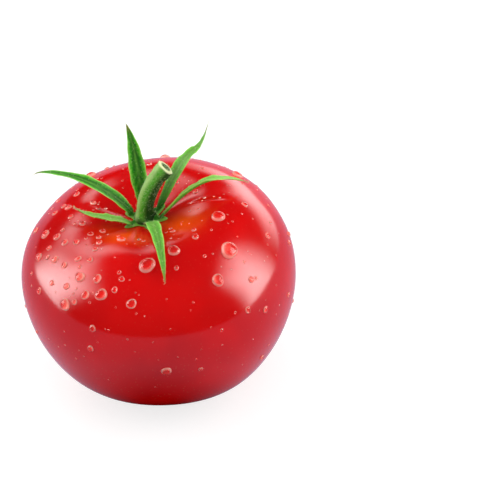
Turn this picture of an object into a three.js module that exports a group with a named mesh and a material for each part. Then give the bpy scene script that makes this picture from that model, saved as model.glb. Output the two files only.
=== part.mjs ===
// A ripe round tomato with its green calyx, standing on the small flat spot under it.
// Units are millimetres. +Z is up, the floor is z = 0, and the origin is the middle of the flat spot.
//
// The fruit is a lathed profile with one superellipse below its widest ring and one above it. One shoulder
// stands higher than the other, the stem's cavity and the furrows between the lobes are pressed into the top,
// and the side follows the same furrows. The floor trims a flat spot from the blossom end. The stem stands on
// the floor of the cavity, and six sepals start round its foot, on spines that are drawn above the skin.
import * as THREE from 'three';

// ---- Fruit ----
const BELLY_RADIUS = 38; // of the widest ring
const BELLY_HEIGHT = 31; // from the blossom end up to the widest ring
const SHOULDER_RISE = 28; // from the widest ring up to the top of the dome, before the cavity
const BASE_FULLNESS = 2.5; // superellipse exponent below the widest ring; 2 is an ellipse
const SHOULDER_FULLNESS = 1.95; // superellipse exponent above it
const BELLY_ROUNDING = 34; // half height of the ellipse that both halves follow where they meet
const BELLY_SHARPNESS = 8; // a higher power keeps that ellipse nearer to the widest ring
const SHOULDER_TILT = 0.12; // share by which the right shoulder stands higher, and the left one lower
const FLAT_SPOT_DEPTH = 0.5; // trimmed from the blossom end

const CAVITY_DEPTH = 9; // pressed into the dome at the stem
const CAVITY_RADIUS = 14; // where the press has fallen to about a third
const CAVITY_CENTRE = new THREE.Vector2(-3, 0); // a little off the fruit's axis

// Furrows run out from the cavity and part the lobes. bearing and spread are degrees, depth is how far a
// furrow presses in the shoulder and dent how far it draws in the side. The last one raises a lobe's side.
const FURROWS = [
  { bearing: 20, spread: 13, depth: 0.6, dent: 0.4 },
  { bearing: 100, spread: 17, depth: 0.8, dent: 0.3 },
  { bearing: 155, spread: 14, depth: 1, dent: 0.4 },
  { bearing: 215, spread: 16, depth: 0.9, dent: 0.3 },
  { bearing: 272, spread: 16, depth: 0.5, dent: 0.2 },
  { bearing: 330, spread: 16, depth: 0.3, dent: 0.2 },
  { bearing: 308, spread: 24, depth: 0, dent: -0.9 },
];
const FURROW_START = 7; // distance from the stem where a furrow is well begun
const FURROW_REACH = 24; // distance from the stem where it has faded to about a third

const FRUIT_RINGS = 44; // steps of the profile, from the blossom end to the top
const FRUIT_SEGMENTS = 60; // steps round the axis

// ---- Stem and sepals ----
const SEAT_GAP = 0.3; // between pieces that touch

const STEM_RADIUS = 2.25;
const STEM_FOOT_RADIUS = 3.2; // of the flared foot that the sepals grow from
const STEM_FOOT_THICKNESS = 0.7; // at its edge
const STEM_FLARE = 3; // height of the flare from the foot into the shaft
const STEM_END_RADIUS = 2.4; // of the swollen joint where the stem was picked
const STEM_END_LENGTH = 2.4;
const STEM_PITH_RADIUS = 1.4; // sunk in the picked end
const STEM_PITH_DEPTH = 0.5;
const STEM_CURVE = [[0, 0, 0], [-0.5, 0, 7], [2, 0, 12], [6, 1, 17]]; // across, back and up from its foot
const STEM_SIDES = 16;
const STEM_RINGS = 14; // steps of the bent shaft

const SEPAL_THICKNESS = 0.8;
const SEPAL_ROOT_WIDTH = 2.6;
const SEPAL_CUP = 0.3; // how far the edges rise, as a share of the half width
const SEPAL_SIDES = 10;
const SEPAL_RINGS = 24;

// Each sepal leaves the stem's foot on its bearing. Its spine is a cubic curve from the foot, pulled by the
// two `via` points, to `tip`, each given as distance out from the stem, distance to the left, and height above
// the skin. It is `width` wide at the share `widest` of its length, narrows to its tip by the power `taper`, of
// which 1 is a straight taper, and turns on its spine by `twist` degrees.
const SEPALS = [
  { name: 'sepal_front', bearing: 288, via: [[8.5, -0.5, 5.5], [20, -1, 1.5]], tip: [28, -2.5, 0],
    width: 3.6, widest: 0.35, taper: 1.7, twist: 0 },
  { name: 'sepal_right', bearing: 340, via: [[13, 3, 8.5], [17, 9.5, 4.5]], tip: [22.5, 18.5, 2],
    width: 3.6, widest: 0.25, taper: 1.7, twist: -38 },
  { name: 'sepal_back_right', bearing: 38, via: [[12.5, -7.5, 24.5], [17, -0.8, 4]], tip: [19.5, -3, 19.5],
    width: 4.2, widest: 0.25, taper: 0.9, twist: 0 },
  { name: 'sepal_back', bearing: 95, via: [[4.5, 1.5, 8], [8.5, 1.5, 15.5]], tip: [10.5, 4, 22.5],
    width: 4.6, widest: 0.45, taper: 1.7, twist: 0 },
  { name: 'sepal_left_upper', bearing: 152, via: [[6, 2, 7], [20, 7, 9]], tip: [32.5, 4.5, 15.5],
    width: 3.8, widest: 0.35, taper: 1.7, twist: 0 },
  { name: 'sepal_left_lower', bearing: 212, via: [[8.5, -1, 3.5], [14.5, -3, 0.5]], tip: [17, -8.5, 4.5],
    width: 3.2, widest: 0.3, taper: 1.7, twist: 0 },
];

// ---- Looks ----
const SKIN_RED = { color: '#c4130f', roughness: 0.2, metalness: 0 };
const STEM_GREEN = { color: '#5c8f34', roughness: 0.6, metalness: 0 };
const SEPAL_GREEN = { color: '#3f7f26', roughness: 0.6, metalness: 0 };

const radians = THREE.MathUtils.degToRad;
const vector = (point) => new THREE.Vector3(...point);

// The sum over the furrows of one of their sizes, each falling away like a bell beside its bearing.
function furrowSum(angle, size) {
  return FURROWS.reduce((sum, furrow) => {
    const offset = THREE.MathUtils.radToDeg(angle) - furrow.bearing;
    const turn = THREE.MathUtils.euclideanModulo(offset + 180, 360) - 180;
    return sum + furrow[size] * Math.exp(-((turn / furrow.spread) ** 2));
  }, 0);
}

// Radius of the widest ring on a bearing from the fruit's axis.
function ringRadius(angle) {
  return BELLY_RADIUS - furrowSum(angle, 'dent');
}

// How far the cavity and the furrows press in the dome.
function press(x, y) {
  const out = new THREE.Vector2(x, y).sub(CAVITY_CENTRE);
  const distance = out.length();
  const begun = 1 - Math.exp(-((distance / FURROW_START) ** 2));
  const lasting = Math.exp(-((distance / FURROW_REACH) ** 4));
  return CAVITY_DEPTH * Math.exp(-((distance / CAVITY_RADIUS) ** 2))
    + furrowSum(Math.atan2(out.y, out.x), 'depth') * begun * lasting;
}

// Height of a quarter superellipse at a share of its radius, blended into the belly's ellipse near the ring.
function arch(share, rise, fullness) {
  const inside = Math.min(share, 1);
  const nearness = inside ** BELLY_SHARPNESS;
  const height = THREE.MathUtils.lerp(rise, BELLY_ROUNDING, nearness);
  const power = THREE.MathUtils.lerp(fullness, 2, nearness);
  return height * (1 - inside ** power) ** (1 / power);
}

// Height above the widest ring of the upper half, before the cavity. Beyond the ring it stays level.
function domeHeight(x, y) {
  const share = Math.hypot(x, y) / ringRadius(Math.atan2(y, x));
  return arch(share, SHOULDER_RISE, SHOULDER_FULLNESS) * (1 + (SHOULDER_TILT * x) / BELLY_RADIUS);
}

// Height of the skin above the floor, over a point of the upper half.
function skinHeight(x, y) {
  return BELLY_HEIGHT - FLAT_SPOT_DEPTH + domeHeight(x, y) - press(x, y);
}

// Point at a clearance from the skin, measured square to it, over a point of the upper half.
function aboveSkin(x, y, clearance) {
  const step = 0.1;
  const slopeX = (skinHeight(x + step, y) - skinHeight(x - step, y)) / (2 * step);
  const slopeY = (skinHeight(x, y + step) - skinHeight(x, y - step)) / (2 * step);
  const normal = new THREE.Vector3(-slopeX, -slopeY, 1).normalize();
  return new THREE.Vector3(x, y, skinHeight(x, y)).addScaledVector(normal, clearance);
}

// Moves every vertex of a geometry by a function that changes it in place.
function reshape(geometry, change) {
  const position = geometry.getAttribute('position');
  const vertex = new THREE.Vector3();
  for (let i = 0; i < position.count; i += 1) {
    vertex.fromBufferAttribute(position, i);
    change(vertex);
    position.setXYZ(i, vertex.x, vertex.y, vertex.z);
  }
  geometry.computeVertexNormals();
  return geometry;
}

// A lathed ball gives the rings. The upper half is then set on the skin, and the floor trims the lower half.
function fruitGeometry() {
  const profile = [];
  for (let i = 0; i <= FRUIT_RINGS; i += 1) {
    const angle = Math.PI * (i / FRUIT_RINGS - 0.5);
    const share = i % FRUIT_RINGS === 0 ? 0 : Math.cos(angle);
    profile.push(new THREE.Vector2(share, Math.sin(angle)));
  }
  const ball = new THREE.LatheGeometry(profile, FRUIT_SEGMENTS).rotateX(Math.PI / 2);
  return reshape(ball, (vertex) => {
    const upper = vertex.z > 0;
    const share = Math.hypot(vertex.x, vertex.y);
    const radius = ringRadius(Math.atan2(vertex.y, vertex.x));
    vertex.x *= radius;
    vertex.y *= radius;
    const base = BELLY_HEIGHT - FLAT_SPOT_DEPTH - arch(share, BELLY_HEIGHT, BASE_FULLNESS);
    vertex.z = upper ? skinHeight(vertex.x, vertex.y) : Math.max(0, base);
  });
}

// A sepal's spine. It keeps the seat gap and half the sepal's thickness from the skin, plus its own height.
class SepalSpine extends THREE.Curve {
  constructor({ bearing, via, tip }) {
    super();
    const root = [STEM_FOOT_RADIUS + SEAT_GAP + SEPAL_THICKNESS, 0, 0];
    this.path = new THREE.CubicBezierCurve3(...[root, ...via, tip].map(vector));
    this.out = new THREE.Vector3(Math.cos(radians(bearing)), Math.sin(radians(bearing)), 0);
    this.left = new THREE.Vector3(-this.out.y, this.out.x, 0);
  }

  getPoint(t, target = new THREE.Vector3()) {
    const { x: out, y: left, z: height } = this.path.getPoint(t);
    const x = CAVITY_CENTRE.x + this.out.x * out + this.left.x * left;
    const y = CAVITY_CENTRE.y + this.out.y * out + this.left.y * left;
    target.copy(aboveSkin(x, y, SEAT_GAP + SEPAL_THICKNESS / 2));
    target.z += height;
    return target;
  }
}

// Half the width of a sepal at a share of its length: it swells from the root and narrows to the tip.
function sepalHalfWidth(t, { width, widest, taper }) {
  const swollen = Math.sin((Math.PI / 2) * Math.min(t / widest, 1)) ** 2;
  const narrowed = 1 - Math.max(0, (t - widest) / (1 - widest)) ** taper;
  return (THREE.MathUtils.lerp(SEPAL_ROOT_WIDTH, width, swollen) / 2) * narrowed;
}

// A sepal is a sphere whose rings are set square to the spine and flattened into a thin cupped section.
function sepalGeometry(sepal) {
  const spine = new SepalSpine(sepal);
  const sphere = new THREE.SphereGeometry(1, SEPAL_SIDES, SEPAL_RINGS);
  return reshape(sphere, (vertex) => {
    const t = (1 - vertex.y) / 2;
    const ring = Math.hypot(vertex.x, vertex.z);
    const atEnd = ring < 1e-6;
    const across = atEnd ? 0 : vertex.x / ring;
    const through = atEnd ? 0 : vertex.z / ring;
    const tangent = spine.getTangent(t);
    const side = spine.left.clone().projectOnPlane(tangent).normalize();
    side.applyAxisAngle(tangent, radians(sepal.twist) * t);
    const face = new THREE.Vector3().crossVectors(tangent, side);
    const halfWidth = sepalHalfWidth(t, sepal);
    const rise = SEPAL_CUP * halfWidth * across ** 2 * Math.min(1, 4 * t); // flat at the root
    const thickness = SEPAL_THICKNESS * (1 - t / 2); // half as thick at the tip
    vertex.copy(spine.getPoint(t));
    vertex.addScaledVector(side, halfWidth * across);
    vertex.addScaledVector(face, rise + (thickness / 2) * through);
  });
}

// The stem is lathed straight, with its flared foot and its sunk pith, and then bent along its curve. The
// foot's underside rises to its edge as the cavity's floor does.
function stemGeometry() {
  const curve = new THREE.CubicBezierCurve3(...STEM_CURVE.map(vector));
  const length = curve.getLength();
  const footRise = CAVITY_DEPTH * (1 - Math.exp(-((STEM_FOOT_RADIUS / CAVITY_RADIUS) ** 2)));
  const profile = [
    new THREE.Vector2(0, 0),
    new THREE.Vector2(STEM_FOOT_RADIUS, footRise),
    new THREE.Vector2(STEM_FOOT_RADIUS, footRise + STEM_FOOT_THICKNESS),
  ];
  for (let i = 0; i <= STEM_RINGS; i += 1) {
    const height = THREE.MathUtils.lerp(STEM_FLARE, length - STEM_END_LENGTH, i / STEM_RINGS);
    profile.push(new THREE.Vector2(STEM_RADIUS, height));
  }
  profile.push(
    new THREE.Vector2(STEM_END_RADIUS, length),
    new THREE.Vector2(STEM_PITH_RADIUS, length),
    new THREE.Vector2(0, length - STEM_PITH_DEPTH),
  );
  return reshape(new THREE.LatheGeometry(profile, STEM_SIDES), (vertex) => {
    const u = Math.min(vertex.y / length, 1);
    const tangent = curve.getTangentAt(u);
    const back = new THREE.Vector3(0, 1, 0).projectOnPlane(tangent).normalize();
    const across = new THREE.Vector3().crossVectors(back, tangent);
    const { x, z } = vertex;
    vertex.copy(curve.getPointAt(u)).addScaledVector(across, x).addScaledVector(back, -z);
  });
}

function piece(name, geometry, look) {
  const mesh = new THREE.Mesh(geometry, new THREE.MeshStandardMaterial(look));
  mesh.name = name;
  return mesh;
}

const stem = piece('stem', stemGeometry(), STEM_GREEN);
stem.position.copy(aboveSkin(CAVITY_CENTRE.x, CAVITY_CENTRE.y, SEAT_GAP));

const tomato = new THREE.Group();
tomato.add(piece('fruit', fruitGeometry(), SKIN_RED), stem);
for (const sepal of SEPALS) tomato.add(piece(sepal.name, sepalGeometry(sepal), SEPAL_GREEN));

export default tomato;
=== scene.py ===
"""Looks of a ripe round tomato with its green calyx, wet with small drops of water.

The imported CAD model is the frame. The fruit, the stem and the sepals are built again here by the same
kind of formulas, on finer grids and with the detail of the living plant, and stand for their CAD nodes. A
shape is worked out in millimetres, in the frame of the part: +Z is up, z = 0 is what the tomato stands
on, and the origin is the middle of its flat spot. Meshes are in metres.
"""

import logging
import math
from collections.abc import Callable
from dataclasses import dataclass, field
from enum import Enum

import bpy
import numpy as np
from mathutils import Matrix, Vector

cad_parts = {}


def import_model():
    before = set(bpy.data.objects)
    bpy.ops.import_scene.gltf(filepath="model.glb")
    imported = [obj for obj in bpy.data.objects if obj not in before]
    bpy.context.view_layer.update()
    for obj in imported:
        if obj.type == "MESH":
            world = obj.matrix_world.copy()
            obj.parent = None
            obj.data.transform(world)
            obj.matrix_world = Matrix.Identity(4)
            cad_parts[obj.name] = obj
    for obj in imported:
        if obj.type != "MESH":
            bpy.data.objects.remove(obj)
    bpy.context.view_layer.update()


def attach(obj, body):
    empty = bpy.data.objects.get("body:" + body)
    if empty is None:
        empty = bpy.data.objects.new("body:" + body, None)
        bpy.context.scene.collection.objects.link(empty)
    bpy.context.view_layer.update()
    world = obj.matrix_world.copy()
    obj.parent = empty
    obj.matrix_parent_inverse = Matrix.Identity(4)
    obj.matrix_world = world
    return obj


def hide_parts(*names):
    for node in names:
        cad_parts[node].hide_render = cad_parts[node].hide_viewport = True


MM = 0.001  # a millimetre, in the metres of the frame
BODY = "root"  # the one CAD body, which every piece rides on
TURN = 2 * math.pi
INNERMOST = 0.15  # the share of a fan's radius where its first ring lies, next to its pole
NEAR = 1e-3  # how far to each side a slope is measured, in shares of a curve or in radians

Points = np.ndarray  # an array whose last axis is x, y and z

log = logging.getLogger("tomato")


class Slot(Enum):
    """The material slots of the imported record."""

    SKIN = "skin"
    STEM = "stem"
    SEPAL = "sepal"


# ---- Vectors and meshes ----


def unit(vectors: Points) -> Points:
    """Scales vectors to length 1, and leaves a vector of no length as it is."""
    return vectors / np.maximum(np.linalg.norm(vectors, axis=-1, keepdims=True), 1e-9)


def dot(a: Points, b: Points) -> np.ndarray:
    """Dot product over the last axis, which it keeps."""
    return (a * b).sum(axis=-1, keepdims=True)


def smoothstep(low: float, high: float, x: np.ndarray) -> np.ndarray:
    """A cubic ramp: 0 below `low`, 1 above `high`, and 3s² - 2s³ of the share s in between."""
    share = np.clip((x - low) / (high - low), 0, 1)
    return share * share * (3 - 2 * share)


def bell(x: np.ndarray | float, width: float) -> np.ndarray:
    """A bell: 1 at 0, and falling away on both sides as exp(-(x / width)²)."""
    return np.exp(-((x / width) ** 2))


def turn_from(angle: np.ndarray, bearing: float) -> np.ndarray:
    """Turn from a bearing in degrees to an angle in radians, in degrees from -180 to 180."""
    return (np.degrees(angle) - bearing + 180) % 360 - 180


def ring_angles(count: int) -> np.ndarray:
    """Angles evenly round a ring from 0, as one row."""
    return np.linspace(0, TURN, count, endpoint=False)[None, :]


def bezier(points: Points, t: np.ndarray) -> Points:
    """A cubic Bezier curve: its four points weighted by (1-t)³, 3t(1-t)², 3t²(1-t) and t³.

    Args:
        points: The four points.
        t: Shares of the curve, from 0 at the first point to 1 at the last.

    Returns:
        A point for each share.
    """
    t = t[..., None]
    weights = ((1 - t) ** 3, 3 * t * (1 - t) ** 2, 3 * t**2 * (1 - t), t**3)
    return sum(weight * point for weight, point in zip(weights, points))


def slopes(curve: Callable[[np.ndarray], Points], t: np.ndarray) -> Points:
    """Unit tangents of a curve, from the difference of two near points on it."""
    return unit(curve(np.minimum(t + NEAR, 1)) - curve(np.maximum(t - NEAR, 0)))


def wrapped_quads(rows: int, columns: int) -> np.ndarray:
    """Faces of a grid whose last column joins its first.

    A face has the corners (r, c), (r, c+1), (r+1, c+1), (r+1, c), so it points outwards where rows rise
    from the bottom and columns run anticlockwise seen from the top.

    Args:
        rows: How many rings of points the grid has.
        columns: How many points a ring has.

    Returns:
        An array of four vertex numbers for each face.
    """
    row, column = np.meshgrid(np.arange(rows - 1), np.arange(columns), indexing="ij")
    right = (column + 1) % columns
    below, above = row * columns, (row + 1) * columns
    return np.stack((below + column, below + right, above + right, above + column), axis=-1).reshape(-1, 4)


@dataclass
class Shell:
    """A closed surface: rings of points between a first and a last pole.

    Attributes:
        rings: Points in millimetres, as rings by points round a ring by 3.
        poles: The first and the last pole, as 2 by 3.
        layers: Named values for the materials, each as rings by points, with its values at the poles.
    """

    rings: Points
    poles: Points
    layers: dict[str, tuple[np.ndarray, float, float]] = field(default_factory=dict)

    def vertices(self) -> Points:
        """Every point as one list: the rings, then the two poles."""
        return np.concatenate([self.rings.reshape(-1, 3), self.poles])

    def faces(self) -> list[list[int]]:
        """Joins the vertices up.

        Returns:
            The quads between the rings, and a fan of triangles at each pole.
        """
        rows, columns = self.rings.shape[:2]
        here = np.arange(columns)
        after = (here + 1) % columns
        first = np.stack([np.full(columns, rows * columns), after, here], axis=-1)
        last_row = (rows - 1) * columns
        top = np.full(columns, rows * columns + 1)
        last = np.stack([last_row + here, last_row + after, top], axis=-1)
        return wrapped_quads(rows, columns).tolist() + first.tolist() + last.tolist()

    def values(self, name: str) -> np.ndarray:
        """A layer's value at every vertex."""
        grid, first, last = self.layers[name]
        return np.concatenate([np.broadcast_to(grid, self.rings.shape[:2]).ravel(), [first, last]])


def build_piece(name: str, shells: list[Shell], stands_for: str = "") -> bpy.types.Object:
    """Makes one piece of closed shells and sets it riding.

    Args:
        name: The piece's name.
        shells: Its surfaces, in millimetres. They all have the same layers.
        stands_for: The CAD node that it replaces, if it does.

    Returns:
        The piece, with its place in its mesh.
    """
    counts = np.cumsum([0] + [len(shell.vertices()) for shell in shells])
    vertices = np.concatenate([shell.vertices() for shell in shells]) * MM
    faces = [[start + i for i in face] for start, shell in zip(counts, shells) for face in shell.faces()]
    mesh = bpy.data.meshes.new(name)
    mesh.from_pydata(vertices.tolist(), [], faces)
    mesh.polygons.foreach_set("use_smooth", np.ones(len(faces), dtype=bool))
    for layer in shells[0].layers:
        values = np.concatenate([shell.values(layer) for shell in shells]).astype(np.float32)
        mesh.attributes.new(layer, "FLOAT", "POINT").data.foreach_set("value", values)
    mesh.update()
    piece = bpy.data.objects.new(name, mesh)
    bpy.context.scene.collection.objects.link(piece)
    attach(piece, BODY)
    if stands_for:
        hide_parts(stands_for)
    log.info("%s: %d faces", name, len(faces))
    return piece


# ---- Materials ----


def linear(colour: str) -> tuple[float, float, float, float]:
    """Turns an sRGB colour to linear light.

    Args:
        colour: A hex colour, as "#rrggbb".

    Returns:
        Red, green and blue, and an alpha of 1.
    """
    shares = [int(colour[i : i + 2], 16) / 255 for i in (1, 3, 5)]
    red, green, blue = (s / 12.92 if s <= 0.04045 else ((s + 0.055) / 1.055) ** 2.4 for s in shares)
    return red, green, blue, 1.0


def add_node(
    tree: bpy.types.NodeTree, kind: str, inputs: dict | None = None, **settings: object
) -> bpy.types.Node:
    """Adds a node with its settings, constants and links.

    Args:
        tree: The node tree.
        kind: The node's Blender type.
        inputs: For a socket's name or number, the value to set there or the output socket to link to it.
        settings: The node's own properties.

    Returns:
        The new node.
    """
    node = tree.nodes.new(kind)
    for name, value in settings.items():
        setattr(node, name, value)
    for socket, value in (inputs or {}).items():
        if isinstance(value, bpy.types.NodeSocket):
            tree.links.new(value, node.inputs[socket])
        else:
            node.inputs[socket].default_value = value
    return node


def new_tree(name: str) -> tuple[bpy.types.Material, bpy.types.NodeTree]:
    """Makes an empty node material.

    Args:
        name: The material's name.

    Returns:
        The material and its node tree.
    """
    material = bpy.data.materials.new(name)
    material.use_nodes = True
    material.node_tree.nodes.clear()
    return material, material.node_tree


@dataclass(frozen=True)
class TomatoSkin:
    """Ripe tomato skin: a clear waxy cuticle over red flesh.

    The wax gives soft-edged, slightly wavering reflections. The flesh under it is saturated red, with two
    orange patches by the stem's cavity where it ripens last and fine pale flecks, and lets a little light
    through.
    """

    red: str = "#ca0605"
    deep_red: str = "#bd0405"
    orange: str = "#ff5c08"
    fleck: str = "#b93a28"
    cork: str = "#8d6a41"
    patch_mm: float = 17.0  # of the slow change between the two reds
    patch_edges: tuple[float, float] = (0.35, 0.65)  # the noise at which a patch begins and is full
    fleck_spacing_mm: float = 1.3
    fleck_radius_mm: float = 0.26
    fleck_core: float = 0.4  # the share of a fleck's radius that has its full colour
    wax_ior: float = 1.45
    wax_roughness: float = 0.13
    wear_roughness: float = 0.05  # added where the wax is worn
    wear_mm: float = 2.5
    cork_roughness: float = 0.4  # added on the scar
    ripple: tuple[float, float] = (6.0, 0.006)  # spacing and depth, both in millimetres
    pores: tuple[float, float] = (0.7, 0.004)
    glow: float = 0.25  # the share of the light that travels in the flesh before it comes out
    light_depth_mm: float = 3.0  # how far red light travels in the flesh
    light_spread: tuple[float, float, float] = (1.0, 0.12, 0.08)  # red, green and blue, as shares of that

    def material(self) -> bpy.types.Material:
        """Builds the material.

        Returns:
            A Principled material with the colour, the roughness and the bump from nodes.
        """
        material, tree = new_tree("tomato_skin_waxy_cuticle")
        place = add_node(tree, "ShaderNodeTexCoord").outputs["Object"]
        blush, flecked, scar = (
            add_node(tree, "ShaderNodeAttribute", attribute_name=name).outputs["Fac"]
            for name in ("blush", "flecks", "scar")
        )
        patch, worn, ripple, pores = (
            add_node(tree, "ShaderNodeTexNoise", {"Vector": place, "Scale": 1 / (size * MM)}).outputs["Fac"]
            for size in (self.patch_mm, self.wear_mm, self.ripple[0], self.pores[0])
        )
        patches = add_node(
            tree,
            "ShaderNodeMapRange",
            {"Value": patch, "From Min": self.patch_edges[0], "From Max": self.patch_edges[1]},
            interpolation_type="SMOOTHSTEP",
        ).outputs["Result"]
        cells = {"Vector": place, "Scale": 1 / (self.fleck_spacing_mm * MM), "Randomness": 1.0}
        near = add_node(tree, "ShaderNodeTexVoronoi", cells).outputs["Distance"]
        size = self.fleck_radius_mm / self.fleck_spacing_mm
        flecks = add_node(
            tree,
            "ShaderNodeMapRange",
            {"Value": near, "From Min": size, "From Max": self.fleck_core * size, "To Max": flecked},
            interpolation_type="SMOOTHSTEP",
        ).outputs["Result"]
        colour = linear(self.red)
        coats = ((patches, self.deep_red), (blush, self.orange), (flecks, self.fleck), (scar, self.cork))
        for share, over in coats:
            mix = {0: share, 6: colour, 7: linear(over)}
            colour = add_node(tree, "ShaderNodeMix", mix, data_type="RGBA").outputs[2]
        rough = self.wax_roughness
        for share, extra in ((worn, self.wear_roughness), (scar, self.cork_roughness)):
            inputs = {0: share, 1: extra, 2: rough}
            rough = add_node(tree, "ShaderNodeMath", inputs, operation="MULTIPLY_ADD").outputs[0]
        normal = add_node(tree, "ShaderNodeNewGeometry").outputs["Normal"]
        for height, depth in ((ripple, self.ripple[1]), (pores, self.pores[1])):
            inputs = {"Height": height, "Distance": depth * MM, "Normal": normal}
            normal = add_node(tree, "ShaderNodeBump", inputs).outputs["Normal"]
        shader = add_node(
            tree,
            "ShaderNodeBsdfPrincipled",
            {
                "Base Color": colour,
                "Roughness": rough,
                "Normal": normal,
                "IOR": self.wax_ior,
                "Subsurface Weight": self.glow,
                "Subsurface Radius": self.light_spread,
                "Subsurface Scale": self.light_depth_mm * MM,
            },
        )
        add_node(tree, "ShaderNodeOutputMaterial", {"Surface": shader.outputs[0]})
        return material


@dataclass(frozen=True)
class GreenTissue:
    """Herbaceous green plant tissue: matt, mottled and uneven, with a faint sheen from its down.

    The down breaks up the surface's own gloss, so the IOR is lower than the 1.4 of bare plant tissue.

    Attributes:
        name: The material's name.
        base: The colour under all the others.
        coats: Colours laid over it in turn, each with the name of the mesh's own layer that says where.
        mottle: A colour that comes and goes by noise, and the spacing of its patches in millimetres.
        mottle_edges: The noise at which a patch begins and is full.
        mottle_detail: How many finer scales the mottle's edges have.
        roughness: Of the surface.
        ior: Of the surface.
        bumps: Spacing and depth of its unevenness, in millimetres, from coarse to fine.
        down: The colour of the sheen.
        sheen: How strong the sheen is.
        sheen_roughness: How widely it spreads.
        glow: The share of the light that travels in the tissue before it comes out.
        light_depth_mm: How far green light travels there.
        light_spread: The same for red, green and blue, as shares of that.
    """

    name: str
    base: str
    mottle: tuple[str, float]
    coats: tuple[tuple[str, str], ...]
    mottle_edges: tuple[float, float] = (0.35, 0.68)
    mottle_detail: float = 3.0
    roughness: float = 0.58
    ior: float = 1.27
    bumps: tuple[tuple[float, float], ...] = ((0.9, 0.12), (0.35, 0.05))
    down: str = "#d8eaa8"
    sheen: float = 0.04
    sheen_roughness: float = 0.4
    glow: float = 0.12
    light_depth_mm: float = 1.0
    light_spread: tuple[float, float, float] = (0.5, 1.0, 0.15)

    def material(self) -> bpy.types.Material:
        """Builds the material.

        Returns:
            A Principled material whose colours follow the mesh's layers.
        """
        material, tree = new_tree(self.name)
        place = add_node(tree, "ShaderNodeTexCoord").outputs["Object"]
        over, spacing = self.mottle
        inputs = {"Vector": place, "Scale": 1 / (spacing * MM), "Detail": self.mottle_detail}
        patch = add_node(tree, "ShaderNodeTexNoise", inputs).outputs["Fac"]
        inputs = {"Value": patch, "From Min": self.mottle_edges[0], "From Max": self.mottle_edges[1]}
        ramp = add_node(tree, "ShaderNodeMapRange", inputs, interpolation_type="SMOOTHSTEP")
        share = ramp.outputs["Result"]
        inputs = {0: share, 6: linear(self.base), 7: linear(over)}
        colour = add_node(tree, "ShaderNodeMix", inputs, data_type="RGBA").outputs[2]
        for layer, over in self.coats:
            share = add_node(tree, "ShaderNodeAttribute", attribute_name=layer).outputs["Fac"]
            inputs = {0: share, 6: colour, 7: linear(over)}
            colour = add_node(tree, "ShaderNodeMix", inputs, data_type="RGBA").outputs[2]
        normal = add_node(tree, "ShaderNodeNewGeometry").outputs["Normal"]
        for spacing, depth in self.bumps:
            inputs = {"Vector": place, "Scale": 1 / (spacing * MM)}
            height = add_node(tree, "ShaderNodeTexNoise", inputs).outputs["Fac"]
            inputs = {"Height": height, "Distance": depth * MM, "Normal": normal}
            normal = add_node(tree, "ShaderNodeBump", inputs).outputs["Normal"]
        shader = add_node(
            tree,
            "ShaderNodeBsdfPrincipled",
            {
                "Base Color": colour,
                "Normal": normal,
                "Roughness": self.roughness,
                "IOR": self.ior,
                "Sheen Weight": self.sheen,
                "Sheen Roughness": self.sheen_roughness,
                "Sheen Tint": linear(self.down),
                "Subsurface Weight": self.glow,
                "Subsurface Radius": self.light_spread,
                "Subsurface Scale": self.light_depth_mm * MM,
            },
        )
        add_node(tree, "ShaderNodeOutputMaterial", {"Surface": shader.outputs[0]})
        return material


# A tomato stalk: ribbed, with painted light on one side, painted shade on the other and round its foot,
# painted highlights on the ribs of the lit side, and a pale cut rim round dark pith.
STALK_TISSUE = GreenTissue(
    name="tomato_stalk_herbaceous",
    base="#459a1e",
    mottle=("#6aae3c", 0.5),
    coats=(
        # painted shade on the far side and round the foot
        ("shade", "#0c2f06"),
        # painted light on the lit side
        ("light", "#a5cc74"),
        # painted highlights on the ribs of the lit side
        ("rib", "#9cc468"),
        ("cut", "#dfe6ae"),
        ("pith", "#33501a"),
    ),
)
# A tomato sepal: a thin downy leaf, dark down its middle, pale at its edges and dry at its tip.
SEPAL_TISSUE = GreenTissue(
    name="tomato_sepal_leaf",
    base="#3aae10",
    mottle=("#72c43c", 0.55),
    coats=(("middle", "#0c5406"), ("vein", "#9ad45c"), ("edge", "#b4e070"), ("dry", "#8f7a3e")),
    roughness=0.52,
)
# The fine down on the stalk and the sepals: short hairs that look pale green.
PLANT_DOWN = GreenTissue(
    name="tomato_plant_down",
    base="#d6e8b0",
    mottle=("#c4dc94", 3.0),
    coats=(),
)


@dataclass(frozen=True)
class ClearWater:
    """Tap water in small drops: smooth and clear in the middle.

    Towards its rim a drop is made a little milky, and the water has a pale salmon colour. Both are
    painted light, for the light that gathers there, so that the rim shows against the red skin.
    """

    ior: float = 1.333
    # how milky a drop's rim is: painted light
    painted_rim_light: float = 0.45
    # the water's pale salmon colour: painted light
    painted_light_tint: str = "#ffc2b0"

    def material(self) -> bpy.types.Material:
        """Builds the material.

        Returns:
            A clear Principled glass with water's IOR, made milky by its rim as painted light.
        """
        material, tree = new_tree("clear_water")
        # The milky rim is painted light, for the light that a drop gathers there.
        rim = add_node(tree, "ShaderNodeAttribute", attribute_name="rim").outputs["Fac"]
        inputs = {0: rim, 1: -self.painted_rim_light, 2: 1.0}
        clear = add_node(tree, "ShaderNodeMath", inputs, operation="MULTIPLY_ADD").outputs[0]
        inputs = {
            "Base Color": linear(self.painted_light_tint),
            "Roughness": 0.0,
            "IOR": self.ior,
            "Transmission Weight": clear,
        }
        shader = add_node(tree, "ShaderNodeBsdfPrincipled", inputs)
        add_node(tree, "ShaderNodeOutputMaterial", {"Surface": shader.outputs[0]})
        return material


# ---- The fruit ----


@dataclass(frozen=True)
class Furrow:
    """A shallow furrow between two lobes.

    Attributes:
        bearing: Where it runs, in degrees.
        spread: How wide it is, in degrees.
        depth: How far it presses in the top, in millimetres.
        dent: How far it dents the side, in millimetres. Below 0 it swells it.
    """

    bearing: float
    spread: float
    depth: float
    dent: float


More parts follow.
